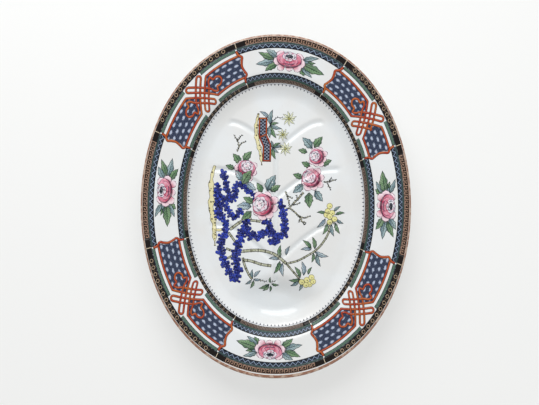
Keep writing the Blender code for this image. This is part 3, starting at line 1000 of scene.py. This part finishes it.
def makeBorderFlowers(petalEnamel, headEnamel, leafEnamel):
    petals, heads, leaves = newLayer(), newLayer(), newLayer()
    for i, degrees in enumerate(borderFlowers["at"]):
        middle = alongBorder(degrees)
        side = 1 if i % 2 == 0 else -1
        def spot(a, b):
            return middle + side * b, borderFlowers["inset"] - a
        def leafSpot(a, b):
            return middle + side * a, borderFlowers["inset"] + b
        for j, (kind, base, tip, width) in enumerate(borderFlowers["leaves"]):
            addLeaf(leaves, leafSpot, base, tip, width, kind, 0.04 * (-1) ** j, 0.02 * (j % 3))
        addPeony(petals, heads, spot, borderFlowers["along"], borderFlowers["across"], heart=True)
    finishLayer(leaves, "borderLeaves", leafEnamel)
    finishLayer(petals, "borderPeonies", petalEnamel)
    finishLayer(heads, "borderPeonyHeads", headEnamel)


# The garden on the floor of the dish, in millimetres
garden = {
    "peonies": [  # middle, way the pale head faces, half size along and across
        ((66, 77.5), 165, 15.5, 16.5), ((57.5, 43), 150, 19.5, 20), ((-46.5, 57), 75, 17.5, 19),
        ((-17.5, 1.5), 168, 22, 24),
    ],
    "leavesBehind": [
        ("sea", (57, 90.5), (41.5, 108)), ("green", (60, 92), (73.5, 109.5)),
        ("green", (49.5, 84.5), (35, 88.5)),
        ("green", (54, 61.5), (40, 69.5)), ("green", (70.5, 64), (88, 72.5)), ("green", (42, 44), (26.5, 50.5)),
        ("sea", (43, 35), (26.5, 21)), ("green", (52.5, 22), (53, -3)), ("sea", (61.5, 25), (74, 7.5)),
        ("green", (-55.5, 66.5), (-67.5, 83)), ("green", (-51, 70.5), (-37.5, 86.5)),
        ("green", (-65, 58.5), (-79, 64.5)),
        ("green", (-21.5, 21.5), (-30, 37.5)), ("sea", (-14, 24), (0, 49.5)), ("green", (-8, 23), (7.5, 33)),
        ("green", (-35, 4.5), (-51.5, 14.5)), ("pale", (-38, -0.5), (-61.5, 0.5)),
        ("green", (-38, -7.5), (-54.5, -20.5)),
    ],
    "leavesOver": [("sea", (-52.5, 40), (-63.5, 57)), ("green", (-52.5, 34), (-37.5, 57)),
                   ("pale", (-46, 37.5), (-31, 25.5))],
    "leafShare": 0.50,
    "slender": [
        ("pale", (-11, 138.5), (-25.5, 149)), ("sea", (-9, 127.5), (-4.5, 152)),
        ("green", (-9, 127.5), (5, 130.5)),
        ("sea", (-9, 127.5), (9.5, 122)), ("green", (-9, 127.5), (1, 106.5)), ("sea", (-9, 127.5), (-9, 106.5)),
        ("sea", (-5.5, 92), (-7.5, 103.5)), ("green", (-5.5, 92), (8, 99.5)), ("sea", (-5.5, 92), (5, 84)),
        ("green", (-5.5, 92), (0, 73.5)), ("sea", (-5.5, 92), (10.5, 93.5)),
    ],
    "bambooLeaves": [
        ("green", (7, -81.5), (8, -60)), ("pale", (16, -77), (22.5, -62)),
        ("pale", (5.5, -83.5), (-11.5, -82.5)),
        ("green", (6.5, -85.5), (-3.5, -106)), ("pale", (10.5, -88.5), (12, -110.5)),
        ("pale", (56, -68.5), (38.5, -68)),
        ("green", (56, -67), (41.5, -53)), ("green", (61, -67.5), (57, -47.5)),
        ("pale", (61, -71), (83, -78.5)),
        ("green", (59, -73), (56, -88.5)), ("sea", (64.5, -74.5), (70.5, -95)),
        ("green", (79.5, -12), (64, -9.5)),
        ("pale", (78, -19), (64, -33.5)), ("green", (81, -26.5), (73, -44.5)),
        ("sea", (87.5, -28.5), (91.5, -47.5)),
        ("green", (93.5, -25.5), (101, -43.5)), ("sea", (94.5, -20), (106.5, -27)),
        ("green", (93, -13.5), (108.5, -10.5)),
        ("sea", (91, -8.5), (102, 0)), ("sea", (-36.5, -113.5), (-36.5, -98.5)),
        ("pale", (-34, -111.5), (-23.5, -100.5)),
        ("sea", (-38, -115.5), (-48.5, -122.5)), ("green", (-35, -116), (-40.5, -129.5)),
        ("pale", (-35.5, -114.5), (-23, -114.5)),
        ("green", (-8.5, -121), (-8.5, -111)), ("green", (-7, -122), (5.5, -124)),
        ("green", (-10, -122.5), (-27.5, -129.5)),
        ("green", (-10.5, -124), (-21, -133.5)), ("green", (-8.5, -125), (-9.5, -135.5)),
        ("green", (38, -114.5), (20, -116)),
        ("sea", (36.5, -117), (22.5, -125.5)), ("sea", (40.5, -120), (36.5, -133.5)),
        ("green", (38.5, -112.5), (29, -94.5)),
        ("pale", (43.5, -109), (40.5, -86)), ("green", (50.5, -107.5), (57, -95)),
    ],
    "bambooLeafShare": 0.27,
    "twigs": [  # path and width at the thick end
        ([(75, 38.5), (83.5, 38.5), (95.5, 42.5)], 1.6), ([(83.5, 38.5), (87.5, 46)], 1.3),
        ([(80.5, 36.5), (86.5, 25.5)], 1.4),
        ([(-60.5, 86), (-57.5, 93.5), (-54, 98.5), (-46.5, 101.5)], 1.6),
        ([(-57.5, 95), (-60.5, 103.5), (-66, 112.5)], 1.4),
        ([(-60, 102.5), (-53, 112.5)], 1.3), ([(43.5, 22), (34, 11), (21.5, -2), (16.5, -5)], 2.6),
        ([(15, 23.5), (19, 12.5), (22, 1.5)], 1.8), ([(38.5, 6), (27.5, 1.5)], 1.5),
        ([(18, 17), (26, 12)], 1.3),
        ([(21.5, -2), (34, -13), (40.5, -22.5), (45, -29.5)], 2.0),
        ([(34, -13.5), (45, -18.5), (54.5, -14.5)], 1.7),
        ([(38, -20), (36.5, -25.5)], 1.3), ([(42, -24), (48, -26)], 1.2), ([(34, 11), (33, 18)], 1.3),
        ([(16.5, -5), (9, -12)], 1.8), ([(-8, 129.5), (1, 138.5), (11, 138.5)], 0.9),
        ([(-9, 127.5), (-4, 115), (9.5, 112)], 0.8),
        ([(-5.5, 92), (4, 93), (13.5, 91)], 0.8), ([(-29, -115.5), (-14, -118.5)], 1.0),
        ([(-7, -119.5), (0, -117)], 0.9),
        ([(92, -28), (88, -22), (87, -12)], 1.2), ([(36, -116), (46, -117), (52, -116)], 1.2),
        ([(-8, 24), (-11, 34), (-8, 44)], 1.0),
        ([(-14.5, 104), (-5.5, 92)], 0.8),
    ],
    "twig": colour(178, 172, 140),
    "bud": colour(132, 140, 124),
    "twigLook": {"line": colour(36, 42, 50), "lineWidth": 0.42},
}
bamboo = {
    "stalk": colour(170, 172, 142),
    "joint": colour(74, 70, 62),
    "look": {"line": colour(34, 36, 36), "lineWidth": 0.85, "streaks": (0.5, 3.0, 1.0), "streakShare": 0.7},
    "nodeEvery": 11.5,
    "stalks": [
        ([(-57, -71), (-42, -69.5), (-29, -69), (-16.5, -70.5), (-4, -74.5), (5.5, -80.5), (16.5, -90)], 4.4),
        ([(-51.5, -84), (-38.5, -86), (-23, -91), (-7, -93.5)], 4.0),
        ([(-52, -80.5), (-48, -95), (-42, -107.5), (-37, -114.5)], 3.2),
        ([(16.5, -90), (34, -85.5), (49.5, -77.5), (64, -68), (75, -55.5), (83, -41), (85, -30)], 2.8),
        ([(16.5, -90), (24.5, -99.5), (34, -110.5), (38.5, -117)], 2.5),
        ([(-72, -36.5), (-54.5, -24), (-38, -19)], 4.4),
        ([(-74, -41), (-61, -59.5)], 3.2), ([(-78, -66), (-67, -70.5)], 3.0),
        ([(-77, -82), (-63.5, -75.5)], 3.0),
        ([(-48, -21.5), (-33, -22.5), (-24, -24)], 3.4),
    ],
}
coral = {
    "coreWidth": 6.8, "knob": 2.35, "knobEvery": 3.9, "knobOut": 3.8,
    "deep": colour(12, 18, 92), "bright": colour(48, 70, 182), "grey": colour(52, 58, 100),
    "look": {"line": colour(12, 14, 66), "lineWidth": 0.26, "wash": 0.4, "washColour": colour(62, 76, 184),
             "washScale": 320.0},
    "fullness": [0.8, 0.85, 0.75, 0.8, 0.9, 0.85, 0.8, 1.1, 1.15, 1.2, 1.1, 1.15, 1.1, 0.8],
    "branches": [
        [(-84.5, 56.5), (-80.5, 46), (-77.5, 34), (-75.5, 24), (-72.5, 14)],
        [(-91.5, 35.5), (-91, 24), (-90, 12), (-91, -1.5), (-90.5, -17.5)],
        [(-62.5, 25.5), (-62.5, 34), (-54, 34.5), (-46.5, 27), (-39, 21), (-32.5, 15.5)],
        [(-72.5, 14), (-66, 12.5), (-62, 24)],
        [(-91.5, 22), (-89, 4.5), (-87.5, -6.5), (-83.5, -17.5), (-79, -27), (-77, -38)],
        [(-86, 3.5), (-76, -2), (-72, -11.5), (-64, -17.5), (-57, -9.5), (-55, -4)],
        [(-91.5, 20.5), (-81.5, 9.5), (-70, 11)],
        [(-77, -38), (-83.5, -48.5), (-86, -60), (-86.5, -69.5), (-82, -84), (-75.5, -96.5), (-70, -107.5),
         (-64, -117)],
        [(-52, -35), (-54, -47.5), (-59, -60), (-62, -73), (-63, -85.5), (-59.5, -98), (-62.5, -115.5)],
        [(-42.5, -22.5), (-48, -27), (-45, -40.5), (-35.5, -47.5), (-23, -47.5)],
        [(-23, -47.5), (-13.5, -38), (-8.5, -28.5), (-19, -23)],
        [(-8.5, -58.5), (-3, -52.5), (7, -47.5), (14, -39.5), (13.5, -22.5), (10.5, -6.5), (7, 3.5)],
        [(-13.5, -38), (-4, -44.5), (7, -47.5)], [(7, 3.5), (8.5, 10)],
    ],
}
rockwork = {
    "bank": colour(220, 212, 162),
    "look": {"line": colour(70, 64, 50), "lineWidth": 0.6, "wash": 0.6, "washColour": colour(228, 224, 186),
             "washScale": 160.0, "dots": 210.0},
    "strips": [  # path and width
        ([(-95.5, 64), (-99.5, 50.5), (-101.5, 32.5), (-100.5, 13.5), (-102, -1.5), (-99.5, -11.5), (-97, -27),
          (-96.5, -41), (-95.5, -62)], 8.7),
        ([(-96, -36.5), (-88, -37), (-80.5, -35)], 5.0),
        ([(-27, 146), (-30.5, 129), (-30.5, 112.5), (-28, 99.5), (-24, 83), (-22, 64.5)], 6.5),
    ],
}
bridge = {
    "path": [(-20, 138), (-20.5, 110.5), (-13.8, 95.5), (-14.5, 70)],
    "width": 11.0, "rail": 2.7, "bars": [0.0, 0.40, 1.0], "netPitch": 5.2,
}
daisies = {
    "at": [((21, 137.5), 12.5), ((11, 112.5), 10.5), ((15, 90.5), 11.5)],  # middle and radius
    "petals": 17,
    "heart": colour(150, 148, 72),
    "look": {"line": colour(84, 92, 74), "lineWidth": 0.42},
}
berries = {
    "at": [(84.5, 0.5), (81.5, -7.5), (88.5, -10.5), (84.5, -16), (92, -20), (84.5, -25), (79.5, -13.5),
           (40.5, -119),
           (48.5, -115.5), (56, -111.5), (53, -122.5), (47, -123.5), (58.5, -118)],
    "radius": 4.6,
    "skin": colour(224, 220, 150),
    "eye": colour(96, 76, 44),
    "look": {"line": colour(104, 96, 56), "lineWidth": 0.62, "wash": 0.5, "washColour": colour(234, 226, 170),
             "washScale": 260.0},
}


def makeGardenFlowers(petalEnamel, headEnamel, leafEnamel):
    behind, over, petals, heads = newLayer(), newLayer(), newLayer(), newLayer()
    groups = (("leavesBehind", "leafShare", behind, 0.05), ("slender", "bambooLeafShare", behind, 0.10),
              ("bambooLeaves", "bambooLeafShare", behind, 0.12), ("leavesOver", "leafShare", over, 0.05))
    for leaves, share, layer, bend in groups:
        for i, (kind, base, tip) in enumerate(garden[leaves]):
            width = garden[share] * math.dist(base, tip) + 1.0
            way = 1 if tip[0] < base[0] else -1  # the tips droop
            droop = bend * way * (-1 if tip[1] > base[1] else 1) * 0.8
            addLeaf(layer, straight, base, tip, width, kind, droop, 0.015 * (i % 4))
    for middle, facing, along, across in garden["peonies"]:
        addPeony(petals, heads, turned(middle, facing), along, across)
    finishLayer(behind, "gardenLeaves", leafEnamel)
    finishLayer(petals, "gardenPeonies", petalEnamel)
    finishLayer(heads, "gardenPeonyHeads", headEnamel)
    finishLayer(over, "leavesOverPeony", leafEnamel)


def makeTwigs():
    twigs = newLayer()
    random.seed(4)
    for points, breadth in garden["twigs"]:
        path = smoothPath(points, 1.6)
        width = 1.4 * breadth
        def twigWidth(share):  # tapers and wavers
            return width * (1 - 0.45 * share) * (1 + 0.22 * math.sin(40 * share))
        addRibbon(twigs, path, twigWidth, garden["twig"])
        if width < 1.2:
            continue
        for i in range(1, len(path) - 1, 2):  # buds along both sides
            run = path[i] - path[i - 1]
            side = random.choice((-1, 1)) * aside(run) / math.hypot(*run)
            tip = path[i] + side * random.uniform(1.4, 2.4) + run * 0.8
            bud = [path[i], (path[i] + tip) / 2, tip]
            addRibbon(twigs, bud, lambda share: width * (0.8 - 0.3 * share), garden["bud"])
    finishLayer(twigs, "twigs", makeEnamel("twigEnamel", garden["twigLook"]))


def makeBamboo():
    stalks, joints = newLayer(), newLayer()
    every = bamboo["nodeEvery"]
    for points, width in bamboo["stalks"]:
        path = smoothPath(points, 1.4)
        addRibbon(stalks, path, width + 0.5, bamboo["stalk"], across=4)
        lengths = lengthsAlong(path)
        for at in np.arange(every * 0.5, lengths[-1], every):
            spot, run = pathAt(path, lengths, at)
            side = aside(run) * (width * 0.5 + 0.6)
            addRibbon(joints, [spot - side, spot, spot + side], 1.3, bamboo["joint"])
    finishLayer(stalks, "bambooStalks", makeEnamel("bambooEnamel", bamboo["look"]))
    finishLayer(joints, "bambooJoints", makePaintedInk("bambooJointInk", colour(130, 120, 90), 0.4))


def makeCoral():
    layer = newLayer()
    random.seed(11)
    deep, bright, knob, every = coral["deep"], coral["bright"], coral["knob"], coral["knobEvery"]
    for points, full in zip(coral["branches"], coral["fullness"]):
        path = smoothPath(points, 1.2)
        tone = random.random()
        def corePaint(u, v):
            return mixPaint(deep, bright, 0.45 + 0.35 * math.sin(14 * u + 6 * tone) + 0.2 * v)
        addRibbon(layer, path, full * coral["coreWidth"], corePaint, across=3)
        lengths = lengthsAlong(path)
        for side in (1, -1):
            at = every * random.random()
            while at < lengths[-1]:
                spot, run = pathAt(path, lengths, at)
                away = side * aside(run) + run * random.uniform(-0.5, 0.5)
                out = away * full * coral["knobOut"] * random.choice((0.8, 1.0, 1.25, 1.5))
                paint = mixPaint(coral["grey"], random.choice((deep, bright)), random.uniform(0.2, 1.0))
                addRibbon(layer, [spot, spot + out / 2, spot + out], knob * 1.5, paint, lift=0.01)
                radius = knob * random.uniform(0.65, 1.2)
                addDisc(layer, straight, spot + out, radius, paint, 0.01 * random.randint(1, 4), (2, 9))
                at += every * random.uniform(0.8, 1.35)
        for end in (path[0], path[-1]):
            addDisc(layer, straight, end, knob * 1.15, mixPaint(deep, bright, 0.6), 0.02, (2, 9))
    finishLayer(layer, "coral", makeEnamel("coralEnamel", coral["look"]))


def makeRockwork():
    layer = newLayer()
    for points, width in rockwork["strips"]:
        def breadth(share):
            wave = 0.16 * math.sin(31 * share) + 0.12 * math.sin(57 * share + 1)
            return width * (math.sin(math.pi * min(0.97, max(0.03, share))) ** 0.45 + wave)
        addRibbon(layer, smoothPath(points, 1.6), breadth, rockwork["bank"], across=4)
    finishLayer(layer, "rockwork", makeEnamel("rockEnamel", rockwork["look"]))


def makeBridge(redEnamel):
    deck, rails = newLayer(), newLayer()
    path = densePath(bridge["path"], 1.4)
    half, rail = bridge["width"] / 2, bridge["rail"]
    addRibbon(deck, path, bridge["width"], ink["navy"], across=6, pitch=bridge["netPitch"])
    for side, paint in ((1, "red"), (-1, "redBrown")):
        edge = [spot + side * half * aside(run) / math.hypot(*run) for spot, run in zip(path, runsAlong(path))]
        addRibbon(rails, edge, rail, ink[paint], across=3)
    for share in bridge["bars"]:
        i = min(len(path) - 2, round(share * (len(path) - 1)))
        run = path[i + 1] - path[i]
        out = (half + 1) * aside(run) / math.hypot(*run)
        addRibbon(rails, densePath([path[i] - out, path[i] + out], 2.0), rail, ink["red"], lift=0.03, across=3)
    finishLayer(deck, "bridgeDeck", bandPattern("bridgeNet", ink["blueBlack"], ink["net"], "net"))
    finishLayer(rails, "bridgeRails", redEnamel)


def makeDaisies():
    layer, count = newLayer(), daisies["petals"]
    for middle, radius in daisies["at"]:
        for i in range(count):
            turn = math.tau * (i + 0.15 * (-1) ** i) / count
            out = radius * (1.0 if i % 2 else 0.74) * np.array([math.cos(turn), math.sin(turn)])
            foot, tip = middle + 0.1 * out, middle + out
            addLeaf(layer, straight, foot, tip, radius * 0.25, "daisy", 0.05 * (-1) ** i, 0.008 * (i % 3))
        addDisc(layer, straight, middle, radius * 0.2, daisies["heart"], 0.05, (2, 10))
    finishLayer(layer, "daisies", makeEnamel("daisyEnamel", daisies["look"]))


def makeBerries():
    layer = newLayer()
    for i, (x, y) in enumerate(berries["at"]):
        rise = 0.012 * (i % 5)
        addDisc(layer, straight, (x, y), berries["radius"], berries["skin"], rise, (4, 16))
        addDisc(layer, straight, (x + 0.8, y - 0.8), 0.9, berries["eye"], 0.03 + rise, (1, 8))
    finishLayer(layer, "berries", makeEnamel("berryEnamel", berries["look"]))


def makeDecoration():
    enamels = (makeEnamel("petalEnamel", petalLook), makeEnamel("headEnamel", headLook),
               makeEnamel("leafEnamel", leafLook))
    makeBorderFlowers(*enamels)
    makeRockwork()
    makeTwigs()
    makeBamboo()
    makeCoral()
    makeGardenFlowers(*enamels)
    makeDaisies()
    makeBerries()


makeBands()
makeTeeth()
redEnamel = makePanels()
makeBridge(redEnamel)
makeDecoration()


# Light, floor and camera
def makeFloor():
    bm = bmesh.new()
    bmesh.ops.create_grid(bm, x_segments=1, y_segments=1, size=3.0)
    material = bpy.data.materials.new("paleFloor")
    material.use_nodes = True
    shader = material.node_tree.nodes["Principled BSDF"]
    shader.inputs["Base Color"].default_value = colour(190, 191, 190)
    shader.inputs["Emission Color"].default_value = (1.0, 1.0, 0.99, 1.0)
    shader.inputs["Emission Strength"].default_value = 0.38  # keeps the shadow light, as a lit table does
    shader.inputs["Roughness"].default_value = 0.8
    floor = toObject(bm, "paleFloor", material)


light = {
    "worldStrength": 0.56,
    "key": {"place": (-0.25, 1.6, 1.2), "size": 2.0, "power": 34.0},
    "fill": {"place": (0.9, -1.2, 1.5), "size": 1.8, "power": 5.0},
}


def makeLights():
    world = bpy.data.worlds.new("studio")
    world.use_nodes = True
    world.node_tree.nodes["Background"].inputs[0].default_value = (1.0, 1.0, 1.0, 1.0)
    world.node_tree.nodes["Background"].inputs[1].default_value = light["worldStrength"]
    bpy.context.scene.world = world
    for name in ("key", "fill"):
        lamp = bpy.data.lights.new(name, "AREA")
        lamp.shape = "DISK"
        lamp.size = light[name]["size"]
        lamp.energy = light[name]["power"]
        holder = bpy.data.objects.new(name, lamp)
        holder.location = light[name]["place"]
        holder.rotation_euler = (Vector((0, 0, 0.03)) - holder.location).to_track_quat("-Z", "Y").to_euler()
        bpy.context.scene.collection.objects.link(holder)


view = {"lens": 85, "sensorWidth": 36, "x": -0.0099, "y": 0.006, "overTop": 1.969}


def makeCamera():
    camera = bpy.data.cameras.new("camera")
    camera.lens = view["lens"]
    camera.sensor_width = view["sensorWidth"]
    holder = bpy.data.objects.new("camera", camera)
    holder.location = (view["x"], view["y"], dish["top"] + view["overTop"])
    bpy.context.scene.collection.objects.link(holder)
    bpy.context.scene.camera = holder
    bpy.context.scene.view_settings.view_transform = "Standard"


makeFloor()
makeLights()
makeCamera()
print("scene ready")
